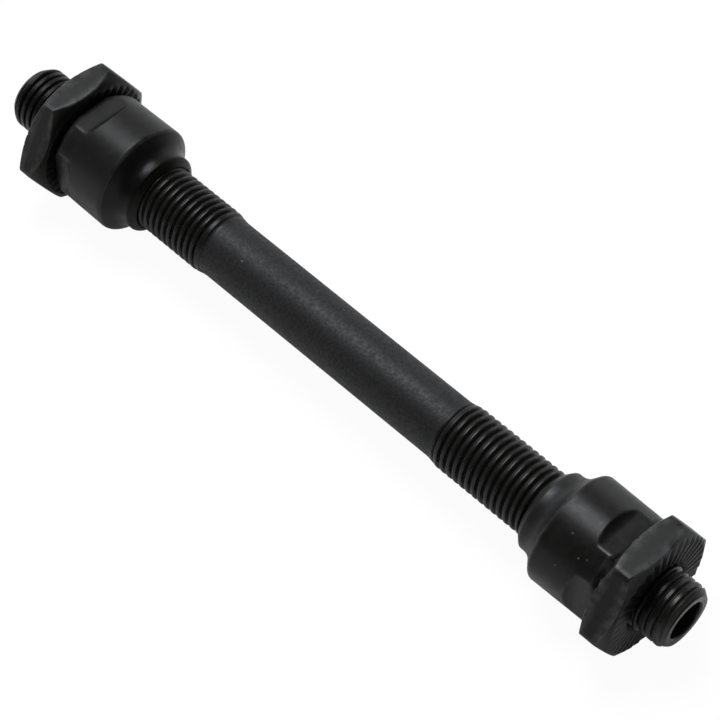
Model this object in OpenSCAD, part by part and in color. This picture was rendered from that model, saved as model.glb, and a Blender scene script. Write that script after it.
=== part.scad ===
// Front hub axle for a quick-release wheel: a hollow threaded axle with a
// bearing cone and a serrated hexagon locknut screwed on at each end.
// The axle lies along Y with its middle at the origin, the left end towards +Y.
// Both locknuts have a flat straight up and a flat straight down.
// All sizes are in millimetres and all angles in degrees.

/* [Axle] */

// Length of the hollow axle from end to end
axle_len = 110; // [106:0.5:116]
// Diameter over the thread crests
thread_d = 8.9; // [8.9:0.05:9]
// Diameter over the thread crests on the two ends that seat in the fork
end_thread_d = 8.55; // [8.4:0.05:8.55]
// Diameter of the smooth middle, which is the size of the bar before threading
shank_d = 8.2; // [7.9:0.05:8.5]
// Diameter of the hole for the quick-release skewer
bore_d = 5.2; // [5:0.1:5.6]
// Threaded length at the left end, with its run-out
thread_len_left = 35.6; // [34:0.2:40]
// Threaded length at the right end, with its run-out
thread_len_right = 37; // [34:0.2:40]
// Length over which each thread fades into the smooth middle
runout_len = 2.4; // [1:0.1:3]
// Diameter of the end face inside the lead chamfer
end_face_d = 7.2; // [6.6:0.1:8]
// Length of the lead chamfer at each end
end_chamfer_len = 0.9; // [0.5:0.1:1.4]
// Chamfer at each mouth of the skewer hole
bore_chamfer = 0.2; // [0.1:0.05:0.4]

/* [Cones] */

// Length of a cone from its wrench end to the tip of its collar
cone_len = 12.9; // [12.7:0.1:15]
// Diameter at the shoulder beside the ball race
cone_d = 15; // [14.4:0.1:15.6]
// Diameter at the wrench end, a little less than at the shoulder
cone_wrench_end_d = 14.8; // [14.2:0.1:15.4]
// Distance from the wrench end to the start of the rounded shoulder
cone_body_len = 8.6; // [8:0.05:8.8]
// Radius of the rounded shoulder
shoulder_r = 0.6; // [0.4:0.05:0.8]
// Radius of the concave ball race, a little over half a ball
race_r = 2.4; // [2.2:0.05:2.6]
// Slope of the race's flank against the axle
race_slope = 50; // [48:1:58]
// Diameter of the collar at the foot of the race
collar_d = 11; // [10.8:0.1:11.4]
// Chamfer at the collar's tip
collar_chamfer = 0.8; // [0.4:0.05:0.8]
// Length of the chamfer round the wrench end
wrench_chamfer_len = 0.8; // [0.4:0.05:1]
// Depth of the chamfer round the wrench end
wrench_chamfer_depth = 0.55; // [0.3:0.05:0.8]
// Size across two opposite wrench flats
cone_flat_af = 13; // [12.8:0.1:13.4]
// Length of the wrench flats, to the foot of the slope that ends them
cone_flat_len = 3; // [2.5:0.1:4]
// Lean of the slope at the inner end of each flat
flat_end_lean = 33; // [20:1:45]
// How far the left cone is turned from flats level with the locknut's
left_cone_turn = 2; // [0:1:89]
// How far the right cone is turned from flats level with the locknut's
right_cone_turn = 4; // [0:1:89]

/* [Locknuts] */

// Size across flats
nut_af = 17; // [16.6:0.1:17.4]
// Thickness over both serrated faces
nut_len = 4.2; // [3.9:0.1:4.5]
// Diameter over the rounded corners
nut_corner_d = 19.4; // [19.3:0.05:19.5]
// Diameter of each face inside its chamfer
nut_face_d = 16; // [15.8:0.1:16.4]
// Slope of the corner chamfers against the face
nut_chamfer_slope = 30; // [25:1:32]
// Slope of the deeper corner chamfer on the inboard side of the left locknut
left_inboard_slope = 42; // [25:1:44]
// Number of teeth in each ring of serrations
tooth_count = 36; // [30:1:40]
// Depth of the serrations at the rim of the face
tooth_depth = 0.38; // [0.2:0.02:0.44]
// Part of a tooth's pitch that its V groove takes up
tooth_fill = 0.88; // [0.7:0.02:0.92]
// Diameter of the countersink in each face
countersink_d = 10.4; // [9.8:0.1:10.8]
// Length of axle that stands out of the left locknut
left_end_out = 6.9; // [4:0.1:9]
// Length of axle that stands out of the right locknut
right_end_out = 4.4; // [4:0.1:9]

/* [Fits] */

// Radial clearance of the cones and locknuts on the axle
thread_gap = 0.05; // [0.03:0.01:0.08]
// Gap between a cone and the locknut tightened against it
seat_gap = 0.05; // [0.02:0.01:0.1]
// Distance outside a locknut at which the axle narrows to its seat in the fork
fork_seat_gap = 0.3; // [0.2:0.05:0.6]

/* [Hidden] */

$fn = 96;

half_len = axle_len / 2;
thread_r = thread_d / 2;
end_thread_r = end_thread_d / 2;
shank_r = shank_d / 2;
bore_r = bore_d / 2;
end_face_r = end_face_d / 2;
hole_r = thread_r + thread_gap;

// Where the locknuts' outer faces and the cones' wrench ends stand along Y
left_nut_face = half_len - left_end_out;
right_nut_face = -half_len + right_end_out;
left_cone_face = left_nut_face - nut_len - seat_gap;
right_cone_face = right_nut_face + nut_len + seat_gap;

// Where the axle narrows to its seats in the fork
left_seat_start = left_nut_face + fork_seat_gap;
right_seat_start = right_nut_face - fork_seat_gap;

// Points of the cone's profile as [radius, distance from the wrench end]. The
// flank starts a hair under the shoulder's arc, so that the two cross cleanly.
flank_inset = 0.01;
collar_r = collar_d / 2;
shoulder_centre = [cone_d / 2 - shoulder_r, cone_body_len];
flank_start = shoulder_centre + (shoulder_r - flank_inset) * [cos(race_slope), sin(race_slope)];
race_centre_r = collar_r + race_r;
flank_end_r = race_centre_r - race_r * cos(race_slope);
flank_len = (flank_start[0] - flank_end_r) / sin(race_slope);
flank_end = flank_start + flank_len * [-sin(race_slope), cos(race_slope)];
race_centre = flank_end + race_r * [cos(race_slope), sin(race_slope)];

// Sizes of the locknut's chamfers and of the V grooves between its teeth
nut_face_r = nut_face_d / 2;
nut_corner_r = nut_corner_d / 2;
nut_chamfer_depth = nut_corner_r - nut_face_r;
countersink_len = countersink_d / 2 - hole_r;
groove_tilt = atan(tooth_depth / nut_face_r);
groove_half_width = tooth_fill * PI * nut_face_r / tooth_count;
groove_spread = groove_half_width / tooth_depth;
groove_start = 3.5;
groove_len = 7;
groove_height = 0.55;

steel = [0.07, 0.07, 0.075];
cone_steel = [0.1, 0.1, 0.11];
nut_steel = [0.12, 0.12, 0.12];

// Hollow axle, turned and threaded from one bar: the two threaded lengths are
// drawn at the size of the thread crests, run out into the smooth middle and
// narrow a little to the seats in the fork
module axle() {
  color(steel)
    rotate([-90, 0, 0])
      rotate_extrude()
        polygon([
          [bore_r, -half_len + bore_chamfer],
          [bore_r + bore_chamfer, -half_len],
          [end_face_r, -half_len],
          [end_thread_r, -half_len + end_chamfer_len],
          [end_thread_r, right_seat_start],
          [thread_r, right_seat_start],
          [thread_r, -half_len + thread_len_right - runout_len],
          [shank_r, -half_len + thread_len_right],
          [shank_r, half_len - thread_len_left],
          [thread_r, half_len - thread_len_left + runout_len],
          [thread_r, left_seat_start],
          [end_thread_r, left_seat_start],
          [end_thread_r, half_len - end_chamfer_len],
          [end_face_r, half_len],
          [bore_r + bore_chamfer, half_len],
          [bore_r, half_len - bore_chamfer]
        ]);
}

// Turned profile of a cone: wrench end, body, rounded shoulder, race, collar
module cone_profile() {
  difference() {
    polygon([
      [hole_r, 0],
      [cone_wrench_end_d / 2 - wrench_chamfer_depth, 0],
      [cone_wrench_end_d / 2, wrench_chamfer_len],
      [cone_d / 2, cone_body_len],
      shoulder_centre,
      flank_start,
      flank_end,
      race_centre,
      [collar_r, race_centre[1]],
      [collar_r, cone_len - collar_chamfer],
      [collar_r - collar_chamfer, cone_len],
      [hole_r, cone_len]
    ]);
    translate(race_centre)
      circle(r = race_r);
  }
  translate(shoulder_centre)
    circle(r = shoulder_r);
}

// What the mill takes off for one wrench flat, with the slope at its inner end
module flat_cutter() {
  cut = cone_d / 2;
  translate([cone_flat_af / 2, cut, 0])
    rotate([90, 0, 0])
      linear_extrude(height = 2 * cut)
        polygon([
          [0, -1],
          [0, cone_flat_len],
          [cut, cone_flat_len + cut * tan(flat_end_lean)],
          [cut, -1]
        ]);
}

// One cone standing on its wrench end, with four milled wrench flats
module cone() {
  color(cone_steel)
    difference() {
      rotate_extrude()
        cone_profile();
      for (quarter = [0:3])
        rotate([0, 0, 90 * quarter])
          flat_cutter();
    }
}

// One V groove between two teeth, lying on the face and deeper towards the rim
module tooth_groove() {
  rotate([groove_tilt, 0, 0])
    translate([0, groove_start, 0])
      rotate([-90, 0, 0])
        linear_extrude(height = groove_len)
          polygon([
            [0, 0],
            [-groove_height * groove_spread, groove_height],
            [groove_height * groove_spread, groove_height]
          ]);
}

// Ring of V grooves that leaves the radial teeth on one face
module serrations() {
  for (tooth = [0:tooth_count - 1])
    rotate([0, 0, 360 * tooth / tooth_count])
      tooth_groove();
}

// One locknut lying on its outer face: a hexagon turned to a chamfer on both
// sides, with a countersink and a ring of radial serrations in both faces
module locknut(inboard_slope) {
  color(nut_steel)
    difference() {
      intersection() {
        linear_extrude(height = nut_len)
          circle(d = nut_af / cos(30), $fn = 6);
        rotate_extrude()
          polygon([
            [hole_r, countersink_len],
            [countersink_d / 2, 0],
            [nut_face_r, 0],
            [nut_corner_r, nut_chamfer_depth * tan(nut_chamfer_slope)],
            [nut_corner_r, nut_len - nut_chamfer_depth * tan(inboard_slope)],
            [nut_face_r, nut_len],
            [countersink_d / 2, nut_len],
            [hole_r, nut_len - countersink_len]
          ]);
      }
      serrations();
      translate([0, 0, nut_len])
        rotate([180, 0, 0])
          serrations();
    }
}

module left_cone() {
  translate([0, left_cone_face, 0])
    rotate([0, left_cone_turn, 0])
      rotate([90, 0, 0])
        cone();
}

module right_cone() {
  translate([0, right_cone_face, 0])
    rotate([0, right_cone_turn, 0])
      rotate([-90, 0, 0])
        cone();
}

module left_locknut() {
  translate([0, left_nut_face, 0])
    rotate([90, 0, 0])
      locknut(left_inboard_slope);
}

module right_locknut() {
  translate([0, right_nut_face, 0])
    rotate([-90, 0, 0])
      locknut(nut_chamfer_slope);
}

axle();
left_cone();
right_cone();
left_locknut();
right_locknut();
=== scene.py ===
"""Looks of the front hub axle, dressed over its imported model.

All pieces are in metres in the model's frame: the axle lies along Y, up is Z and the
left end is towards +Y. An angle round the axle starts straight up and grows towards +X,
which is right-handed about +Y, so a right-hand thread advances by one pitch per turn.
Lengths in the shape functions are in millimetres until a mesh is made.
"""
import math
from typing import NamedTuple

import bmesh
import bpy
import numpy as np
from mathutils import Matrix, Vector


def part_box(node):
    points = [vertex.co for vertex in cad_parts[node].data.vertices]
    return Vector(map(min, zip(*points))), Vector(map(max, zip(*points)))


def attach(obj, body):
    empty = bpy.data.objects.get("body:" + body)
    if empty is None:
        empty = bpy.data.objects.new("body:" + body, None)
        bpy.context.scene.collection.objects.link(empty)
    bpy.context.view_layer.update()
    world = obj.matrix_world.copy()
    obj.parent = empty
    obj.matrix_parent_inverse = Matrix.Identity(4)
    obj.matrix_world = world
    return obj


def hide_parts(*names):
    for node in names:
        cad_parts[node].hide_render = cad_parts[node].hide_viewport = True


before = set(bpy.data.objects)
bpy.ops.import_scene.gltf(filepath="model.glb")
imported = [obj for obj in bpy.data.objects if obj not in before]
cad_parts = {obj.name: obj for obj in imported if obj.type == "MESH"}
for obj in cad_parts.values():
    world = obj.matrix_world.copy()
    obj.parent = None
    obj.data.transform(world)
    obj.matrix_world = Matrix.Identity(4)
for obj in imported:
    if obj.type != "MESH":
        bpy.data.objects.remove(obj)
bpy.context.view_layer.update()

MM = 0.001
TURN = 2 * math.pi

# Points nearer than this, in millimetres, are one
MERGE = 0.0008


def reach(node):
    """Lowest and highest Y of a node of the model, in millimetres."""
    low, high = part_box(node)
    return low[1] / MM, high[1] / MM


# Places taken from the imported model
HALF_LEN = reach("axle")[1]
LEFT_NUT_IN, LEFT_NUT_OUT = reach("left_locknut")
RIGHT_NUT_OUT, RIGHT_NUT_IN = reach("right_locknut")
LEFT_TIP, LEFT_FACE = reach("left_cone")
RIGHT_FACE, RIGHT_TIP = reach("right_cone")
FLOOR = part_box("left_locknut")[0][2]

# Axle: hole, end faces and smooth middle
BORE_R = 2.6
BORE_CHAMFER = 0.2
END_FACE_R = 3.6
END_CHAMFER = 0.9
END_CHAMFER_EASE = 0.1
END_EASE = 0.08
SHANK_R = 4.1
SHANK_ROWS = 12
LEFT_SHANK_END = HALF_LEN - 35.6
RIGHT_SHANK_END = -HALF_LEN + 37.0
AXLE_COLUMNS = 72

# Rolled M9 x 1 thread: the Y of a crest at the top of each end, the depth from 0 on a
# crest to 1 in a root at parts of a pitch away from the crest, and the run-out, in which
# the grooves are lifted
PITCH = 1.0
CREST_R = 4.445
ROOT_R = 3.82
LEFT_PHASE = 0.016
RIGHT_PHASE = -0.604
THREAD_AWAY = (0.0, 0.1, 0.17, 0.23, 0.3, 0.38, 0.45, 0.5)
THREAD_DEPTH = (0.0, 0.012, 0.07, 0.22, 0.52, 0.86, 0.98, 1.0)
CREST_EASE = 0.03
RUNOUT = 2.4
GROOVE_LIFT = 0.31

# Seats in the fork: their lower crests, how far outside a locknut the step down to them
# starts, and its length
END_CREST_R = 4.275
SEAT_STEP = 0.3
SEAT_STEP_LEN = 0.4

# Threads inside the cones and locknuts, and how steeply the bevels of their mouths open
INNER_ROOT_R = CREST_R + 0.05
INNER_CREST_R = ROOT_R + 0.07
MOUTH_SLOPE = 3

# Darkening on the axle's stubs, partly oily dirt and partly painted shade where a stub
# meets its locknut: how much, how far it reaches along the right one, and how far
# inside a locknut it starts and over what length
RIGHT_STUB_OIL_AND_SHADE = 0.5
LEFT_STUB_OIL_AND_SHADE = 0.4
RIGHT_STUB_DARK_LEN = 3.6
DARK_INSIDE = 0.5
DARK_START_LEN = 0.4

# Cones
CONE_R = 7.5
CONE_WRENCH_R = 7.4
CONE_BODY = 8.6
SHOULDER_R = 0.6
RACE_R = 2.4
RACE_SLOPE = math.radians(50)
COLLAR_R = 5.5
COLLAR_CHAMFER = 0.8
WRENCH_CHAMFER_DEPTH = 0.55
WRENCH_CHAMFER_LEN = 0.8
LEFT_CONE_TURN = math.radians(2)
RIGHT_CONE_TURN = math.radians(4)
MOUTH_R = 4.62
TIP_MOUTH_R = 4.56

# Wrench flats of the cones, with the easing of their sloping inner end, of their outer
# end and of their long edges, and the points crowded along those
FLAT_AT = 6.5
FLAT_LEN = 3.0
FLAT_LEAN = math.radians(33)
SLOPE_EASE = 0.5
FLAT_END_EASE = 0.1
FLAT_EDGE_EASE = 0.13
QUARTER_COLUMNS = 90
CROWDING = 5
CROWD_WIDTH = math.radians(2.2)

# Width of the rubbed line along an edge
RUB_WIDTH = 0.12

# Locknuts: sizes, then where the rings of points stand: as radii on the face, as parts
# of the chamfer's width and as parts of the thickness
NUT_FLAT_AT = 8.5
NUT_CORNER_R = 9.7
NUT_CORNER_EASE = 0.12
NUT_FACE_R = 8.0
NUT_FACE_EASE = 0.06
NUT_EDGE = 0.1
COUNTERSINK_R = 5.2
NUT_MOUTH_R = INNER_ROOT_R + 0.1
FACE_RINGS = (4.72, 4.96, 5.08, 5.2, 5.32, 5.8, 6.5, 7.3, 7.85, NUT_FACE_R)
CHAMFER_RINGS = (0.08, 0.2, 0.35, 0.5, 0.68, 0.85)
SIDE_RINGS = (0.4, 0.5, 0.6)

# Teeth of the locknuts: half the width of a V groove and the places of a tooth's columns
# are parts of the teeth's pitch, and a groove's bottom is flat at a part of its depth
TEETH = 36
TOOTH_DEPTH = 0.36
TOOTH_HALF = 0.44
TOOTH_STEPS = (-0.47, -0.44, -0.4, -0.2, -0.03, 0.0, 0.03, 0.2, 0.4, 0.44, 0.47, 0.5)
GROOVE_BOTTOM = 0.97


class NutFace(NamedTuple):
    """One side of a locknut: the slope of its chamfer, how blunt its teeth are, and how dark
    it is with oily dirt and painted shade.

    Bluntness and darkening are parts, greatest at one angle and less over a bell of a width.
    The darkening thins out over the last millimetre of its reach from the axle's line.
    """

    slope: float
    blunt: float = 0.0
    oil_and_shade: float = 0.0
    angle: float = 0.0
    width: float = 1.3
    darkening_reach: float = 8.6

    def bell(self, angles):
        """1 at the face's angle, falling off as e to the minus square of widths from it."""
        off = (angles - self.angle + math.pi) % TURN - math.pi
        return np.exp(-((off / self.width) ** 2))


PLAIN_FACE = NutFace(slope=math.tan(math.radians(30)))
# The darkening on these two faces is partly oily dirt and partly painted shade: on the left in the
# gap against the cone, on the right round the stub on one side.
LEFT_INBOARD = NutFace(
    slope=math.tan(math.radians(42)), blunt=0.9, oil_and_shade=0.92,
    angle=math.radians(-80), width=2.3, darkening_reach=9.4,
)
RIGHT_OUTER = NutFace(
    slope=math.tan(math.radians(30)), blunt=0.95, oil_and_shade=0.95,
    angle=math.radians(-85), width=1.5, darkening_reach=9.2,
)


# Helpers for shapes

def ease(t):
    """Smooth step: 0 below 0, 1 above 1, and 3t squared less 2t cubed between."""
    t = np.clip(t, 0, 1)
    return t * t * (3 - 2 * t)


def soft_min(a, b, near):
    """The lesser of a and b, rounded off by a parabola where they differ by less than near."""
    close = np.maximum(near - np.abs(a - b), 0) / near
    return np.minimum(a, b) - close**2 * near / 4


def soft_max(a, b, near):
    """The greater of a and b, rounded in the same way."""
    return -soft_min(-a, -b, near)


def arc_corner(before, corner, after, size, steps=4):
    """Rounds a corner of a path: a parabola from size before the corner to size after it."""
    before, corner, after = (np.asarray(p, float) for p in (before, corner, after))
    start = corner + (before - corner) * size / np.linalg.norm(before - corner)
    end = corner + (after - corner) * size / np.linalg.norm(after - corner)
    t = np.linspace(0, 1, steps + 1)[:, None]
    return (1 - t) ** 2 * start + 2 * t * (1 - t) * corner + t**2 * end


def turned(radius, along, angle):
    """Points at a radius and a Y from the axle's line, at an angle round it from the top."""
    radius, along, angle = np.broadcast_arrays(radius, along, angle)
    return np.stack([radius * np.sin(angle), along, radius * np.cos(angle)], axis=-1)


class Skin:
    """Gathers grids of points into one closed mesh, with a wear value at each point.

    Its value is 1 on a rubbed edge, 0 on the plain finish and -1 where oily dirt and
    painted shade darken it.
    """

    def __init__(self):
        self.points, self.wear, self.faces, self.count = [], [], [], 0

    def add(self, points, wear=0.0):
        """Adds points of any grid shape and returns their numbers in the same shape."""
        shape = points.shape[:-1]
        numbers = self.count + np.arange(int(np.prod(shape))).reshape(shape)
        self.points.append(points.reshape(-1, 3))
        self.wear.append(np.broadcast_to(wear, shape).reshape(-1))
        self.count += numbers.size
        return numbers

    def sheet(self, points, wear=0.0, ring=True):
        """A grid of quads over rows and columns; in a ring the last column meets the first."""
        n = self.add(points, wear)
        m = np.concatenate([n, n[:, :1]], axis=1) if ring else n
        quads = np.stack([m[:-1, :-1], m[:-1, 1:], m[1:, 1:], m[1:, :-1]], axis=-1)
        self.faces.extend(quads.reshape(-1, 4).tolist())
        return n

    def join(self, coarse, fine):
        """Faces between a row of few points and one with a whole multiple of its points."""
        step = len(fine) // len(coarse)
        few = np.append(coarse, coarse[0])
        many = np.append(fine, fine[0])
        for i in range(len(coarse)):
            run = many[i * step : (i + 1) * step + 1]
            self.faces.append([int(few[i]), int(few[i + 1])] + [int(v) for v in run[::-1]])

    def piece(self, name, node, body, slot, finish):
        """Makes the mesh: doubles merged, faces turned outwards, smooth, riding its body."""
        mesh = bpy.data.meshes.new(name)
        points = np.concatenate(self.points) * MM
        mesh.from_pydata(points.tolist(), [], self.faces)
        layer = mesh.attributes.new("wear", "FLOAT", "POINT")
        layer.data.foreach_set("value", np.concatenate(self.wear).astype(np.float32))
        work = bmesh.new()
        work.from_mesh(mesh)
        bmesh.ops.remove_doubles(work, verts=work.verts, dist=MERGE * MM)
        bmesh.ops.dissolve_degenerate(work, edges=work.edges, dist=MERGE / 2 * MM)
        bmesh.ops.recalc_face_normals(work, faces=work.faces)
        work.to_mesh(mesh)
        work.free()
        mesh.shade_smooth()
        mesh.materials.append(finish)
        made = bpy.data.objects.new(name, mesh)
        bpy.context.scene.collection.objects.link(made)
        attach(made, body)
        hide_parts(node)


# Shapes of the thread and the axle

def thread_depth(along, angle, phase):
    """Depth of the thread from 0 on a crest to 1 in a root.

    A crest lies at phase plus whole pitches at the top and advances one pitch a turn.
    """
    turns = (along - phase) / PITCH - angle / TURN
    return np.interp(np.abs((turns + 0.5) % 1 - 0.5), THREAD_AWAY, THREAD_DEPTH)


def axle_radius(along, angle, phase, shank_end):
    """Radius of a threaded end of the axle.

    Over the run-out the crest rises from the smooth middle while the groove sinks in,
    thin at first; the crest drops a little outside the locknut, and the lead chamfer
    cuts the thread at the end face.
    """
    out = np.abs(along)
    seat = SEAT_STEP + (LEFT_NUT_OUT if shank_end > 0 else -RIGHT_NUT_OUT)
    run = ease((out - abs(shank_end)) / RUNOUT)
    crest = SHANK_R + (CREST_R - SHANK_R) * run
    crest = crest - (CREST_R - END_CREST_R) * ease((out - seat) / SEAT_STEP_LEN)
    groove = CREST_R - (CREST_R - ROOT_R) * thread_depth(along, angle, phase)
    threaded = soft_min(crest, groove + GROOVE_LIFT * (1 - run), CREST_EASE)
    slope = (END_CREST_R - END_FACE_R) / END_CHAMFER
    return soft_min(threaded, END_FACE_R + slope * (HALF_LEN - out), END_CHAMFER_EASE)


def helix_rows(start, stop, phase, angles):
    """Y of a grid whose rows follow the thread between start and stop.

    Row values are crests plus the profile's steps over each pitch; every column shifts
    them by its part of a turn, and they are held between start and stop, so that both
    ends close in a plane circle. The last column lies one pitch on from the first.
    """
    away = np.array(THREAD_AWAY)
    steps = np.concatenate([away, 1 - away[-2:0:-1]])
    first = math.floor((start - phase) / PITCH) - 2
    last = math.ceil((stop - phase) / PITCH) + 1
    rows = phase + PITCH * (np.arange(first, last)[:, None] + steps).reshape(-1, 1)
    return np.clip(rows + PITCH * angles / TURN, start, stop)


def round_angles(count):
    """Evenly spaced angles over one full turn."""
    return np.arange(count) * TURN / count


def closed(angles):
    """The same angles with the first repeated one turn on."""
    return np.append(angles, angles[0] + TURN)


def stub_oil_and_shade(along, angle):
    """Part of darkening on the axle's two stubs, partly oily dirt and partly painted shade.

    Beside the right locknut's face it lies on the turns next to it, most at the angle where
    that face is darkest, and thins out over its length. An even darkening lies on all
    that stands out of the left locknut. Both start a little inside the locknut.
    """
    left, right = along - LEFT_NUT_OUT, RIGHT_NUT_OUT - along
    start_left = ease((left + DARK_INSIDE) / DARK_START_LEN)
    start_right = ease((right + DARK_INSIDE) / DARK_START_LEN)
    spread = RIGHT_OUTER.bell(angle) * ease(1 - right / RIGHT_STUB_DARK_LEN)
    return LEFT_STUB_OIL_AND_SHADE * start_left + RIGHT_STUB_OIL_AND_SHADE * start_right * spread


def axle_end():
    """Rows of radius and depth under the end face: the face, its chamfer and the hole."""
    rim, mouth = (END_FACE_R, 0), (BORE_R + BORE_CHAMFER, 0)
    wall, middle = (BORE_R, BORE_CHAMFER), (BORE_R, HALF_LEN)
    return np.concatenate([
        [rim, (END_FACE_R - 0.05, 0)],
        arc_corner(rim, mouth, wall, END_EASE),
        arc_corner(mouth, wall, middle, END_EASE),
        [(BORE_R, 1.5), middle],
    ])


def hollow_axle():
    """The axle's skin: two helical threads, the smooth middle, both ends and the hole."""
    skin = Skin()
    angles = round_angles(AXLE_COLUMNS)
    ring = closed(angles)
    end = axle_end()
    for phase, shank_end, tip in (
        (LEFT_PHASE, LEFT_SHANK_END, HALF_LEN),
        (RIGHT_PHASE, RIGHT_SHANK_END, -HALF_LEN),
    ):
        along = helix_rows(min(shank_end, tip), max(shank_end, tip), phase, ring)
        radius = axle_radius(along, ring, phase, shank_end)
        skin.sheet(turned(radius, along, ring), -stub_oil_and_shade(along, ring), ring=False)
        skin.sheet(turned(end[:, :1], math.copysign(1, tip) * (HALF_LEN - end[:, 1:]), angles))
    middle = np.linspace(RIGHT_SHANK_END, LEFT_SHANK_END, SHANK_ROWS)[:, None]
    skin.sheet(turned(SHANK_R, middle, angles))
    return skin


def threaded_hole(skin, start, stop, phase, angles, mouth_low, mouth_high):
    """An internal thread that follows the axle's, with a bevelled mouth at each end.

    The radius goes from the inner root to the inner crest with the thread's depth, and
    bevels widen it to mouth_low at start and mouth_high at stop. Returns its first and
    last rings.
    """
    ring = closed(angles)
    along = helix_rows(start, stop, phase, ring)
    radius = INNER_ROOT_R - (INNER_ROOT_R - INNER_CREST_R) * thread_depth(along, ring, phase)
    bevel_low = mouth_low - MOUTH_SLOPE * (along - start)
    bevel_high = mouth_high - MOUTH_SLOPE * (stop - along)
    radius = np.maximum(radius, np.maximum(bevel_low, bevel_high))
    skin.sheet(turned(radius, along, ring), ring=False)
    low = skin.add(turned(mouth_low, start, angles))
    high = skin.add(turned(mouth_high, stop, angles))
    return low, high


# Shape of a cone

def cone_angles(turn):
    """Angles of a cone's columns, crowded where the wrench flats meet the turned body.

    The columns' density is 1 plus a bell round each edge of a flat, and the angles are
    where the summed density reaches equal steps.
    """
    edge = math.acos(FLAT_AT / CONE_R)
    fine = np.linspace(0, TURN / 4, 4001)
    away = np.minimum(np.abs(fine - edge), np.abs(TURN / 4 - fine - edge))
    density = 1 + CROWDING * np.exp(-((away / CROWD_WIDTH) ** 2))
    summed = np.concatenate([[0], np.cumsum((density[1:] + density[:-1]) / 2)])
    steps = np.arange(QUARTER_COLUMNS) / QUARTER_COLUMNS
    quarter = np.interp(steps, summed / summed[-1], fine)
    return turn + np.concatenate([quarter + k * TURN / 4 for k in range(4)])


def cone_outline():
    """Outline of the turned cone as rows of radius, distance from the wrench end and wear.

    The wrench end and its chamfer, the slightly tapered body, the rounded shoulder, the
    race's straight flank and its hollow of a little over half a ball, then the collar.
    Each meets the next in line: the flank touches the shoulder's arc and the hollow's.
    The body's rows crowd over the slopes at the inner ends of the flats. Edges are eased
    over a tenth of a millimetre or so, and each stretch has its wear.
    """
    length = abs(LEFT_FACE - LEFT_TIP)
    rim = (CONE_WRENCH_R - WRENCH_CHAMFER_DEPTH, 0)
    body = (CONE_WRENCH_R, WRENCH_CHAMFER_LEN)
    shoulder = np.array([CONE_R - SHOULDER_R, CONE_BODY])
    out = np.array([math.cos(RACE_SLOPE), math.sin(RACE_SLOPE)])
    down = np.array([-math.sin(RACE_SLOPE), math.cos(RACE_SLOPE)])
    flank = shoulder + SHOULDER_R * out
    foot = flank + down * (flank[0] - COLLAR_R - RACE_R + RACE_R * out[0]) / out[1]
    centre = foot + RACE_R * out
    shoulder_turn = np.linspace(0, RACE_SLOPE, 9)[1:, None]
    race_turn = np.linspace(RACE_SLOPE, 0, 19)[:, None]
    levels = np.concatenate([
        np.linspace(WRENCH_CHAMFER_LEN + 0.3, FLAT_LEN - 0.1, 7),
        np.arange(FLAT_LEN - 0.02, FLAT_LEN + 0.95, 0.045),
        np.linspace(FLAT_LEN + 1.2, CONE_BODY, 10),
    ])
    taper = (CONE_R - CONE_WRENCH_R) / (CONE_BODY - WRENCH_CHAMFER_LEN)
    wall = np.stack([CONE_WRENCH_R + taper * (levels - WRENCH_CHAMFER_LEN), levels], axis=1)
    collar_end = (COLLAR_R, length - COLLAR_CHAMFER)
    tip = (COLLAR_R - COLLAR_CHAMFER, length)
    hole, tip_hole = (MOUTH_R, 0), (MOUTH_R, length)
    runs = [
        ([[MOUTH_R + 0.28, 0], [rim[0] - 1.25, 0]], 0),
        (arc_corner(hole, rim, body, 0.1), 1),
        (arc_corner(rim, body, wall[0], 0.15), 0.8),
        (wall, 0),
        (shoulder + SHOULDER_R * np.hstack([np.cos(shoulder_turn), np.sin(shoulder_turn)]), 0.5),
        (flank + down * np.linspace(0.2, 0.8, 3)[:, None] * np.linalg.norm(foot - flank), 0),
        (centre - RACE_R * np.hstack([np.cos(race_turn), np.sin(race_turn)]), 0),
        (arc_corner((COLLAR_R, centre[1]), collar_end, tip, 0.12), 0.6),
        (arc_corner(collar_end, tip, tip_hole, 0.08), 0.9),
        ([[MOUTH_R + 0.02, length]], 0),
    ]
    points = np.concatenate([np.asarray(p, float) for p, _ in runs])
    wear = np.concatenate([np.full(len(p), float(w)) for p, w in runs])
    return points, wear


def bearing_cone(face, side, turn, phase):
    """A cone's skin. Face is the Y of its wrench end and side the way from there to the tip.

    The turned outline is carried round the axle, and each of the four milled flats, with
    the leaning slope at its inner end, is a limit on the radius: the plane's distance
    over the cosine of the angle from the flat's middle. It is worn where the two meet.
    """
    skin = Skin()
    outline, worn = cone_outline()
    angles = cone_angles(turn)
    radius, level = outline[:, :1], outline[:, 1:]
    off = (angles - turn + TURN / 8) % (TURN / 4) - TURN / 8
    slope = soft_max(level - FLAT_LEN, 0 * level, SLOPE_EASE) / math.tan(FLAT_LEAN)
    near = np.clip(FLAT_END_EASE - level, 0, FLAT_END_EASE)
    eased = FLAT_END_EASE - np.sqrt(np.maximum(FLAT_END_EASE**2 - near**2, 0))
    flat = (FLAT_AT + slope - eased) / np.cos(off)
    cut = soft_min(radius, flat, FLAT_EDGE_EASE)
    outside_collar = radius > COLLAR_R + 0.5
    flat_edges = np.exp(-(((radius - flat) / RUB_WIDTH) ** 2)) * outside_collar
    wear = np.maximum(worn[:, None] * (radius <= flat + 0.05), flat_edges)
    outer = skin.sheet(turned(cut, face + side * level, angles), wear)
    tip = face + side * outline[-1, 1]
    mouths = {face: MOUTH_R, tip: TIP_MOUTH_R}
    low, high = sorted(mouths)
    few = angles[::3]
    ring_low, ring_high = threaded_hole(skin, low, high, phase, few, mouths[low], mouths[high])
    at_face, at_tip = (ring_low, ring_high) if face < tip else (ring_high, ring_low)
    skin.join(at_face, outer[0])
    skin.join(at_tip, outer[-1])
    return skin


# Shape of a locknut

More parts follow.
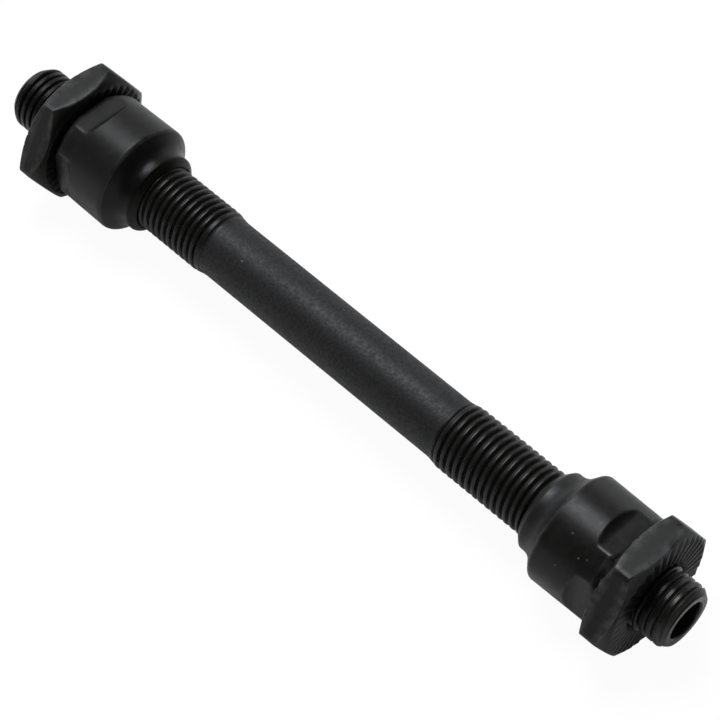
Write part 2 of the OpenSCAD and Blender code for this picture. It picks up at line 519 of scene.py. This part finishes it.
def nut_face_depth(radius, angle, face):
    """How far a locknut's face lies under its highest plane.

    The deepest of three: the radial V grooves, whose depth grows with the radius and
    shrinks where the teeth are blunt, the countersink, which falls by its distance
    inside its rim, and the chamfer's cone, which falls by its slope from the face's edge
    outwards.
    """
    across = (angle * TEETH / TURN + 0.5) % 1 - 0.5
    groove = np.clip(1 - np.abs(across) / TOOTH_HALF, 0, GROOVE_BOTTOM)
    groove = TOOTH_DEPTH * radius / NUT_FACE_R * groove * (1 - face.blunt * face.bell(angle))
    sunk = COUNTERSINK_R - radius
    chamfer = (radius - NUT_FACE_R) * face.slope
    return soft_max(np.maximum(groove, sunk), chamfer, NUT_FACE_EASE)


def locknut(low, high, phase, low_face, high_face):
    """A locknut's skin between two Y values, both faces serrated, each with its chamfer.

    Each column runs over one face from the countersink to the side, round the edge, down
    the side and back over the other face. The side's radius is the hexagon's, which is
    the flats' distance over the cosine of the angle from a flat, cut by the round bar.
    The edge between face and side is a parabola. Rubbed are the ridges of the teeth
    where they aren't blunt, the countersink's rim, the edge and, less, the corners.
    """
    skin = Skin()
    tooth = np.arange(TEETH)[:, None] + np.array(TOOTH_STEPS)
    angles = (tooth * TURN / TEETH).reshape(-1)
    across = np.tile(np.array(TOOTH_STEPS), TEETH)
    off = (angles + TURN / 12) % (TURN / 6) - TURN / 12
    hexagon = NUT_FLAT_AT / np.cos(off)
    side = soft_min(hexagon, np.full_like(hexagon, NUT_CORNER_R), NUT_CORNER_EASE)
    near_side = side - NUT_EDGE
    chamfer_parts = np.array(CHAMFER_RINGS)[:, None]
    radius = np.concatenate([
        np.array(FACE_RINGS)[:, None] + 0 * side,
        NUT_FACE_R + chamfer_parts * (near_side - NUT_FACE_R),
    ])
    t = np.linspace(0, 1, 5)[:, None]
    edge_radius = (1 - t) ** 2 * near_side + (1 - (1 - t) ** 2) * side
    ridges = (np.abs(across) > TOOTH_HALF - 0.02) * (radius < NUT_FACE_R + 0.4)
    ridges = ridges * (radius > COUNTERSINK_R)
    sink_rim = 0.7 * np.exp(-(((radius - COUNTERSINK_R) / NUT_EDGE) ** 2))
    corners = 0.6 * np.exp(-(((hexagon - NUT_CORNER_R) / NUT_EDGE) ** 2))
    depths, wears = [], []
    for face in (low_face, high_face):
        rim = nut_face_depth(side, angles, face)
        near_rim = nut_face_depth(near_side, angles, face)
        edge = (1 - t) ** 2 * near_rim + 2 * t * (1 - t) * rim + t**2 * (rim + NUT_EDGE)
        depths.append(np.concatenate([nut_face_depth(radius, angles, face), edge]))
        rubbed = np.maximum(ridges, sink_rim) * (1 - face.blunt * face.bell(angles)) ** 3
        # Oily dirt and painted shade, darkest at the face's angle
        oiled_and_shaded = face.oil_and_shade * face.bell(angles) * ease(face.darkening_reach - radius)
        wears.append(np.concatenate([rubbed - oiled_and_shaded, np.ones_like(edge_radius)]))
    thick = high - low
    levels = np.array(SIDE_RINGS)[:, None]
    face_radius = np.concatenate([radius, edge_radius])
    rows_r = np.concatenate([face_radius, side + 0 * levels, face_radius[::-1]])
    rows_y = np.concatenate([depths[0], levels * thick + 0 * side, thick - depths[1][::-1]])
    rows_wear = np.concatenate([wears[0], corners + 0 * levels, wears[1][::-1]])
    outer_rings = skin.sheet(turned(rows_r, low + rows_y, angles), rows_wear)
    sunk = COUNTERSINK_R - NUT_MOUTH_R
    ring_low, ring_high = threaded_hole(
        skin, low + sunk, high - sunk, phase, angles[::3], NUT_MOUTH_R, NUT_MOUTH_R
    )
    skin.join(ring_low, outer_rings[0])
    skin.join(ring_high, outer_rings[-1])
    return skin


# Helpers for finishes

class Wire:
    """A number on its way between shader nodes; arithmetic on it adds Math nodes."""

    def __init__(self, finish, socket):
        self.finish, self.socket = finish, socket

    def _math(self, operation, *values):
        return self.finish.node("ShaderNodeMath", {"operation": operation}, *values)[0]

    def __add__(self, other):
        return self._math("ADD", self, other)

    def __sub__(self, other):
        return self._math("SUBTRACT", self, other)

    def __rsub__(self, other):
        return self._math("SUBTRACT", other, self)

    def __mul__(self, other):
        return self._math("MULTIPLY", self, other)

    __radd__ = __add__
    __rmul__ = __mul__

    def most(self, other):
        """The greater of two values."""
        return self._math("MAXIMUM", self, other)

    def root(self):
        """Square root."""
        return self._math("SQRT", self)

    def ramp(self, low, high, to_low=0.0, to_high=1.0):
        """Smooth change from to_low to to_high as the value goes from low to high."""
        settings = {"interpolation_type": "SMOOTHSTEP"}
        return self.finish.node("ShaderNodeMapRange", settings, self, low, high, to_low, to_high)[0]


class Finish:
    """One procedural material, or the world: adds nodes and joins their sockets."""

    def __init__(self, owner):
        owner.use_nodes = True
        self.owner, self.tree = owner, owner.node_tree
        self.tree.nodes.clear()

    def node(self, kind, settings=None, *values, **named):
        """Adds a node: settings first, then the values or wires of its sockets.

        Sockets are given in order, or by name with _ for a space. Returns its outputs
        that are in use as wires.
        """
        made = self.tree.nodes.new(kind)
        for key, value in (settings or {}).items():
            setattr(made, key, value)
        live = [s for s in made.inputs if s.enabled]
        pairs = list(zip(live, values))
        for key, value in named.items():
            pairs.append((next(s for s in live if s.name == key.replace("_", " ")), value))
        for socket, value in pairs:
            if isinstance(value, Wire):
                self.tree.links.new(value.socket, socket)
            else:
                socket.default_value = value
        return [Wire(self, s) for s in made.outputs if s.enabled]

    def mix(self, factor, first, second):
        """A colour between two colours."""
        settings = {"data_type": "RGBA"}
        return self.node("ShaderNodeMix", settings, Factor=factor, A=first, B=second)[0]

    def place(self):
        """The point's own coordinates on the piece, in metres."""
        return self.node("ShaderNodeTexCoord")[3]

    def noise(self, place, scale, detail=3.0, rough=0.55):
        """Cloudy noise from 0 to 1; scale is in cells per metre."""
        return self.node(
            "ShaderNodeTexNoise", None, Vector=place, Scale=scale, Detail=detail, Roughness=rough
        )[0]

    def cells(self, place, scale):
        """Distance to the nearest of points strewn at random, in cell widths."""
        return self.node("ShaderNodeTexVoronoi", None, Vector=place, Scale=scale)[0]

    def round_place(self, place):
        """Radius from the axle's line in millimetres, and Y in metres."""
        x, y, z = self.node("ShaderNodeSeparateXYZ", None, place)
        return (x * x + z * z).root() * (1 / MM), y

    def between(self, y, stretch, fade):
        """1 where Y lies in a stretch given in millimetres, fading to 0 over a length."""
        low, high = stretch
        return y.ramp((low - fade) * MM, low * MM) * y.ramp(high * MM, (high + fade) * MM, 1, 0)

    def bump(self, height, distance, under=None):
        """A normal bent by a height in units of distance, over another bump if there is one."""
        named = {"Strength": 1.0, "Distance": distance, "Height": height}
        if under is not None:
            named["Normal"] = under
        return self.node("ShaderNodeBump", None, **named)[0]

    def surface(self, shader):
        """Joins a shader to the material's output and returns the material."""
        self.tree.links.new(shader.socket, self.node_output("ShaderNodeOutputMaterial"))
        return self.owner

    def node_output(self, kind):
        """Adds an output node and returns its surface socket."""
        return self.tree.nodes.new(kind).inputs["Surface"]


def new_finish(name):
    """An empty material to build on."""
    return Finish(bpy.data.materials.new(name))


# Colours of the black oxide and of what shows on it
BLACK = (0.0108, 0.0105, 0.0099, 1)
BLACK_DEEP = (0.0046, 0.0044, 0.004, 1)
BLACK_WORN = (0.062, 0.062, 0.064, 1)
# Dark of oily dirt, also laid on as painted shade
OIL_AND_SHADE = (0.0045, 0.004, 0.003, 1)
RACE = (0.012, 0.0117, 0.012, 1)
# A brighter race colour for the right cone, a painted sheen
RACE_PAINTED_SHEEN = (0.034, 0.034, 0.035, 1)
# Pale dust in the thread grooves, made paler as painted light
GROOVE_DUST_AND_LIGHT = (0.026, 0.0245, 0.021, 1)
MATT = (0.0205, 0.0205, 0.0213, 1)
MATT_DEEP = (0.009, 0.009, 0.0094, 1)
DUST = (0.32, 0.31, 0.29, 1)

# Cells per metre of the patterns that all the finishes share
CLOUD_CELLS = 90
PATCH_CELLS = 700
SPECK_CELLS = 900
MOTTLE_CELLS = 1300
SAND_CELLS = 2600
RAGGED_CELLS = 5000
RING_CELLS = 9000

# Lengths in millimetres over which a hollow ends below its start, and over which along
# the axle a hollow, the matt stretch and a turned band fade out
HOLLOW_FLOOR = 0.12
HOLLOW_FADE = 0.3
MATT_FADE = 0.5
BAND_FADE = 0.12

# Rare specks of dust: their size in cell widths and the share of the surface that has
# them; then how strong the larger ones are, and in millimetres their X, Y, Z and radius
SPECK_SIZE = 0.09
SPECK_SHARE = 0.2
LARGE_SPECK = 0.2
AXLE_SPECKS = (
    (-1.89, 14.94, 3.64, 0.2), (-2.03, -18.09, 3.9, 0.2), (-1.2, -18.5, 4.1, 0.15),
    (-2.81, -19.5, 3.38, 0.15), (-2.99, -20.15, 3.23, 0.12), (-3.3, -19.1, 2.9, 0.12),
)
CONE_SPECKS = (
    (-3.74, -40.44, 6.44, 0.2), (-4.85, -43.66, 5.66, 0.17),
    (-5.19, -42.69, 5.34, 0.2), (-6.68, -40.69, 3.3, 0.18),
)


class Hollow(NamedTuple):
    """A colour laid low inside a Y range in millimetres: pale dust with painted light in the
    axle's thread grooves, painted shade in a locknut's countersink.

    Its part is greatest at the radius start and nothing at the radius end, and it stays
    clear of the skewer hole, which lies far under start.
    """

    start: float
    end: float
    part: float
    colour: tuple
    stretch: tuple


class GroundBand(NamedTuple):
    """A ground band: its Y range in millimetres, its part, and how much rougher it is."""

    stretch: tuple
    colour: tuple
    part: float
    rougher: float


def dust_specks(finish, place, specks):
    """Mask of rare pale specks, and of the larger ones that lie at given points.

    The rare ones are points strewn in cells, kept where a slow noise is high. A larger
    one is weaker and fades from a fifth of its radius to the whole of it, which a noise
    makes uneven.
    """
    mask = finish.cells(place, SPECK_CELLS).ramp(SPECK_SIZE, SPECK_SIZE * 1.6, 1, 0)
    slow = finish.noise(place, SPECK_CELLS * 0.31, 1.0)
    mask = mask * slow.ramp(1 - SPECK_SHARE, 1.02 - SPECK_SHARE)
    uneven = finish.noise(place, RAGGED_CELLS, 2.0) * 0.3 + 0.85
    for x, y, z, radius in specks:
        point = (x * MM, y * MM, z * MM)
        away = finish.node("ShaderNodeVectorMath", {"operation": "DISTANCE"}, place, point)[0]
        mask = mask.most((away * uneven).ramp(0.2 * radius * MM, radius * MM, LARGE_SPECK, 0))
    return mask


def black_oxide(
    name, rough, grain, grain_size, specular, worn, rings=0.0, specks=(), painted_light=0.0,
    hollow=None, matt=None, ground=None, shaded_collar=None,
):
    """Black oxide on steel.

    Colour: near-black, clouded slowly and mottled finely, and lifted by the part
    painted_light towards the matt colour, which is painted light; paler by the part worn
    where the wear value marks a rubbed edge, darker where it marks oily dirt and
    painted shade, with rare specks of dust. Gloss: satin about rough, uneven over a few
    millimetres and mottled. Relief: grain and rings are the heights in millimetres of the
    fine grain, with grain_size cells per metre, and of turned rings. Matt and shaded_collar
    are Y ranges in millimetres: a stretch left paler and sandy, and a collar darkened as
    painted shade and made rougher. Hollow is a Hollow and ground a GroundBand. Steel that
    is oily or darkened as painted shade, and ground bands, are partly metallic, so that
    they shine only as their colour allows.
    """
    f = new_finish(name)
    place = f.place()
    radius, y = f.round_place(place)
    cloud = f.noise(place, CLOUD_CELLS, 4.0)
    fine = f.noise(place, grain_size, 2.0, 0.7)
    mottle = f.noise(place, MOTTLE_CELLS, 2.0, 0.6)
    patchy = f.noise(place, PATCH_CELLS, 3.0).ramp(0.3, 0.7)
    wear = f.node("ShaderNodeAttribute", {"attribute_name": "wear"})[2]
    edge, oil_and_shade = wear.most(0.0), (wear * -1).most(0.0)

    shade = cloud.ramp(0.3, 0.7) * 0.35 + fine.ramp(0.3, 0.75) * 0.35 + mottle.ramp(0.3, 0.7) * 0.3
    colour = f.mix(shade, BLACK_DEEP, BLACK)
    gloss = cloud.ramp(0.25, 0.75, rough - 0.03, rough + 0.04) + fine.ramp(0.3, 0.7, -0.03, 0.03)
    gloss = gloss + mottle.ramp(0.3, 0.7, -0.035, 0.035)
    height, bare = fine, oil_and_shade * 0.9
    # Painted light: the whole colour lifted towards the matt colour
    if painted_light:
        colour = f.mix(painted_light, colour, MATT)
    # Low-lying colour: pale dust and painted light in thread grooves, painted shade in countersinks
    if hollow:
        low_lying = radius.ramp(hollow.start, hollow.end, hollow.part, 0)
        low_lying = low_lying * radius.ramp(hollow.start - HOLLOW_FLOOR, hollow.start, 0, 1)
        low_lying = low_lying * f.between(y, hollow.stretch, HOLLOW_FADE)
        colour = f.mix(low_lying, colour, hollow.colour)
        gloss = gloss + low_lying * 0.12
    colour = f.mix(edge * patchy * worn, colour, BLACK_WORN)
    # Darker where the value marks oily dirt and painted shade
    colour = f.mix(oil_and_shade, colour, OIL_AND_SHADE)
    gloss = gloss - edge * 0.06
    if matt:
        sandy = f.between(y, matt, MATT_FADE)
        sand = f.noise(place, SAND_CELLS, 2.0, 0.7)
        sand_shade = fine.ramp(0.3, 0.75) * 0.3 + sand.ramp(0.32, 0.68) * 0.7
        colour = f.mix(sandy, colour, f.mix(sand_shade, MATT_DEEP, MATT))
        gloss = gloss + sandy * sand.ramp(0.3, 0.7, 0.29, 0.1)
        height = fine * (sandy * 0.3 + 0.2) + sand * sandy * 1.6
    if ground:
        band = f.between(y, ground.stretch, BAND_FADE) * ground.part
        colour = f.mix(band, colour, ground.colour)
        gloss = gloss + band * ground.rougher
        height, bare = height * (1 - band), bare.most(band)
    # Painted shade: the collar darkened, made rougher and partly metallic
    if shaded_collar:
        collar = f.between(y, shaded_collar, BAND_FADE)
        colour = f.mix(collar * 0.9, colour, OIL_AND_SHADE)
        gloss = gloss + collar * 0.08
        bare = bare.most(collar * 0.6)
    colour = f.mix(dust_specks(f, place, specks), colour, DUST)

    relief = f.bump(height, grain * MM)
    if rings:
        ring_place = f.node("ShaderNodeCombineXYZ", None, radius * 0.004, y, 0.0)[0]
        relief = f.bump(f.noise(ring_place, RING_CELLS, 2.0, 0.6), rings * MM, under=relief)
    shader = f.node(
        "ShaderNodeBsdfPrincipled", None, Base_Color=colour, Roughness=gloss, Metallic=bare,
        Normal=relief, Specular_IOR_Level=specular,
    )[0]
    return f.surface(shader)


# The four finishes and the five pieces
# The grooves of its threads are paler with dust and painted light
axle_finish = black_oxide(
    "black oxide, rolled", rough=0.31, grain=0.012, grain_size=5200, specular=0.22, worn=0.22,
    specks=AXLE_SPECKS, matt=(RIGHT_SHANK_END - 0.5, LEFT_SHANK_END + 0.5),
    hollow=Hollow(ROOT_R - 0.03, ROOT_R + 0.4, 0.8, GROOVE_DUST_AND_LIGHT, (-HALF_LEN, LEFT_NUT_OUT)),
)
# Its whole colour is lifted as painted light, and its collar darkened as painted shade
left_cone_finish = black_oxide(
    "black oxide, turned, left", rough=0.38, grain=0.003, grain_size=6000, specular=0.18,
    worn=0.45, rings=0.0015, painted_light=0.22, shaded_collar=(LEFT_TIP - 1, LEFT_FACE - 11.85),
    ground=GroundBand((LEFT_FACE - 11.75, LEFT_FACE - 9.2), RACE, 0.75, -0.03),
)
# Its race and collar get a brighter reflective colour, a painted sheen
right_cone_finish = black_oxide(
    "black oxide, turned, right", rough=0.34, grain=0.003, grain_size=6000, specular=0.18,
    worn=0.5, rings=0.0015, specks=CONE_SPECKS,
    ground=GroundBand((RIGHT_FACE + 9.4, RIGHT_TIP + 1), RACE_PAINTED_SHEEN, 0.6, 0.12),
)
# Their countersinks are darkened as painted shade
nut_finish = black_oxide(
    "black oxide, milled", rough=0.4, grain=0.006, grain_size=4200, specular=0.2, worn=0.75,
    hollow=Hollow(4.6, COUNTERSINK_R - 0.05, 0.9, OIL_AND_SHADE, (-HALF_LEN, HALF_LEN)),
)

hollow_axle().piece("threaded_axle", "axle", "axle", "axle_steel", axle_finish)
bearing_cone(LEFT_FACE, -1, LEFT_CONE_TURN, LEFT_PHASE).piece(
    "left_bearing_cone", "left_cone", "left_cone", "cone_steel", left_cone_finish
)
bearing_cone(RIGHT_FACE, 1, RIGHT_CONE_TURN, RIGHT_PHASE).piece(
    "right_bearing_cone", "right_cone", "right_cone", "cone_steel", right_cone_finish
)
locknut(LEFT_NUT_IN, LEFT_NUT_OUT, LEFT_PHASE, LEFT_INBOARD, PLAIN_FACE).piece(
    "left_serrated_nut", "left_locknut", "left_locknut", "locknut_steel", nut_finish
)
locknut(RIGHT_NUT_OUT, RIGHT_NUT_IN, RIGHT_PHASE, RIGHT_OUTER, PLAIN_FACE).piece(
    "right_serrated_nut", "right_locknut", "right_locknut", "locknut_steel", nut_finish
)


# Studio: the floor and backdrop in metres, and how bright the room and they are
WHITE = (1, 1, 1, 1)
FLOOR_PALE = (0.8, 0.8, 0.8, 1)
FLOOR_VEIL = (0.08, 0.08, 0.08, 1)
FLOOR_GLOW = 0.95
FLOOR_IN_GLOSS = 0.15
FLOOR_UNDER = 0.02 * MM
FLOOR_HALF = 4.0
SWEEP_START = 0.55
SWEEP_R = 0.35
SWEEP_TOP = 1.1
ROOM_DARK = 0.06
FILL = 0.27

# Lamps: name, direction from the object, distance and side in metres, power in watts
LAMP_COLOUR = (0.95, 0.97, 1.0)
LAMPS = (
    ("overhead lamp", (0.11, 0.31, 0.93), 0.7, 0.34, 4.6),
    ("left end lamp", (0.2, 0.9, 0.38), 0.5, 0.35, 0.5),
    ("far side lamp", (0.95, 0.1, 0.22), 0.7, 0.5, 0.8),
)

# Camera: place in metres, the way it looks, and its lens and sensor in millimetres
CAMERA_PLACE = Vector((-0.14322, -0.13831, 0.27567))
CAMERA_AZIMUTH = math.radians(-46.707)
CAMERA_ELEVATION = math.radians(54.545)
CAMERA_ROLL = math.radians(1.54)
CAMERA_LENS = 141.2
CAMERA_SENSOR = 36


def light_path(finish):
    """The kinds of ray by name, each 1 or 0."""
    return {w.socket.name: w for w in finish.node("ShaderNodeLightPath")}


def seen_directly(path):
    """1 for rays from the camera and through glass, and 0 for rays that light."""
    return path["Is Camera Ray"].most(path["Is Transmission Ray"])


def floor_finish():
    """Matt and pale to rays that light; where it is seen it glows most of the way to white.

    A thin matt veil over the glow keeps the object's shadow, and gloss shows a part.
    """
    f = new_finish("pale sweep")
    lit = f.node("ShaderNodeBsdfDiffuse", None, FLOOR_PALE, 1.0)[0]
    veil = f.node("ShaderNodeBsdfDiffuse", None, FLOOR_VEIL, 1.0)[0]
    glow = f.node("ShaderNodeEmission", None, WHITE, FLOOR_GLOW)[0]
    shown = f.node("ShaderNodeAddShader", None, veil, glow)[0]
    path = light_path(f)
    seen = seen_directly(path).most(path["Is Glossy Ray"] * FLOOR_IN_GLOSS)
    return f.surface(f.node("ShaderNodeMixShader", None, seen, lit, shown)[0])


def pale_sweep():
    """A plain floor that rises behind the object into a backdrop.

    Its profile runs level from the front, turns up in a quarter circle and ends upright;
    it is carried sideways and turned to stand across the photograph's line of sight.
    """
    bend = np.linspace(0, math.pi / 2, 17)
    rise = SWEEP_START + SWEEP_R * np.sin(bend)
    out = np.concatenate([[-FLOOR_HALF, 0], rise, [SWEEP_START + SWEEP_R]])
    up = np.concatenate([[0, 0], SWEEP_R * (1 - np.cos(bend)), [SWEEP_TOP]])
    wide = np.array([-FLOOR_HALF, 0, FLOOR_HALF])[:, None]
    away = np.array([-math.sin(CAMERA_AZIMUTH), math.cos(CAMERA_AZIMUTH)])
    x = away[0] * out + away[1] * wide
    y = away[1] * out - away[0] * wide
    points = np.stack([x, y, np.broadcast_to(up + FLOOR - FLOOR_UNDER, x.shape)], axis=-1)
    n = np.arange(x.size).reshape(x.shape)
    quads = np.stack([n[:-1, :-1], n[1:, :-1], n[1:, 1:], n[:-1, 1:]], axis=-1).reshape(-1, 4)
    mesh = bpy.data.meshes.new("floor")
    mesh.from_pydata(points.reshape(-1, 3).tolist(), [], quads.tolist())
    mesh.shade_smooth()
    mesh.materials.append(floor_finish())
    floor = bpy.data.objects.new("floor", mesh)
    bpy.context.scene.collection.objects.link(floor)


def studio_world():
    """White where the camera sees it, and an even dim fill for what lights the object.

    In gloss it is white along the horizon, as the floor is, and the dark of the room
    above, which only the backdrop and the lamps interrupt.
    """
    world = bpy.data.worlds.new("studio")
    bpy.context.scene.world = world
    f = Finish(world)
    direction = f.node("ShaderNodeTexCoord")[0]
    height = f.node("ShaderNodeSeparateXYZ", None, direction)[2]
    path = light_path(f)
    white, glossy = seen_directly(path), path["Is Glossy Ray"]
    in_gloss = glossy * height.ramp(0.0, 0.1, 1.0, ROOM_DARK)
    strength = white + in_gloss + (1 - white) * (1 - glossy) * FILL
    back = f.node("ShaderNodeBackground", None, WHITE, strength)[0]
    f.tree.links.new(back.socket, f.node_output("ShaderNodeOutputWorld"))


def soft_lamp(name, direction, distance, side, power):
    """A soft square lamp that looks at the object's middle from a direction."""
    data = bpy.data.lights.new(name, "AREA")
    data.shape, data.size, data.energy, data.color = "SQUARE", side, power, LAMP_COLOUR
    lamp = bpy.data.objects.new(name, data)
    toward = Vector(direction).normalized()
    lamp.location = toward * distance
    lamp.rotation_mode = "QUATERNION"
    lamp.rotation_quaternion = toward.to_track_quat("Z", "Y")
    bpy.context.scene.collection.objects.link(lamp)


def camera():
    """The camera at the photograph's angle: turned by azimuth, elevation and roll."""
    data = bpy.data.cameras.new("camera")
    data.lens, data.sensor_width = CAMERA_LENS, CAMERA_SENSOR
    made = bpy.data.objects.new("camera", data)
    spin = (
        Matrix.Rotation(CAMERA_AZIMUTH, 4, "Z")
        @ Matrix.Rotation(math.pi / 2 - CAMERA_ELEVATION, 4, "X")
        @ Matrix.Rotation(CAMERA_ROLL, 4, "Z")
    )
    made.matrix_world = Matrix.Translation(CAMERA_PLACE) @ spin
    bpy.context.scene.collection.objects.link(made)
    bpy.context.scene.camera = made


pale_sweep()
studio_world()
for lamp_values in LAMPS:
    soft_lamp(*lamp_values)
camera()
bpy.context.scene.view_settings.view_transform = "Standard"
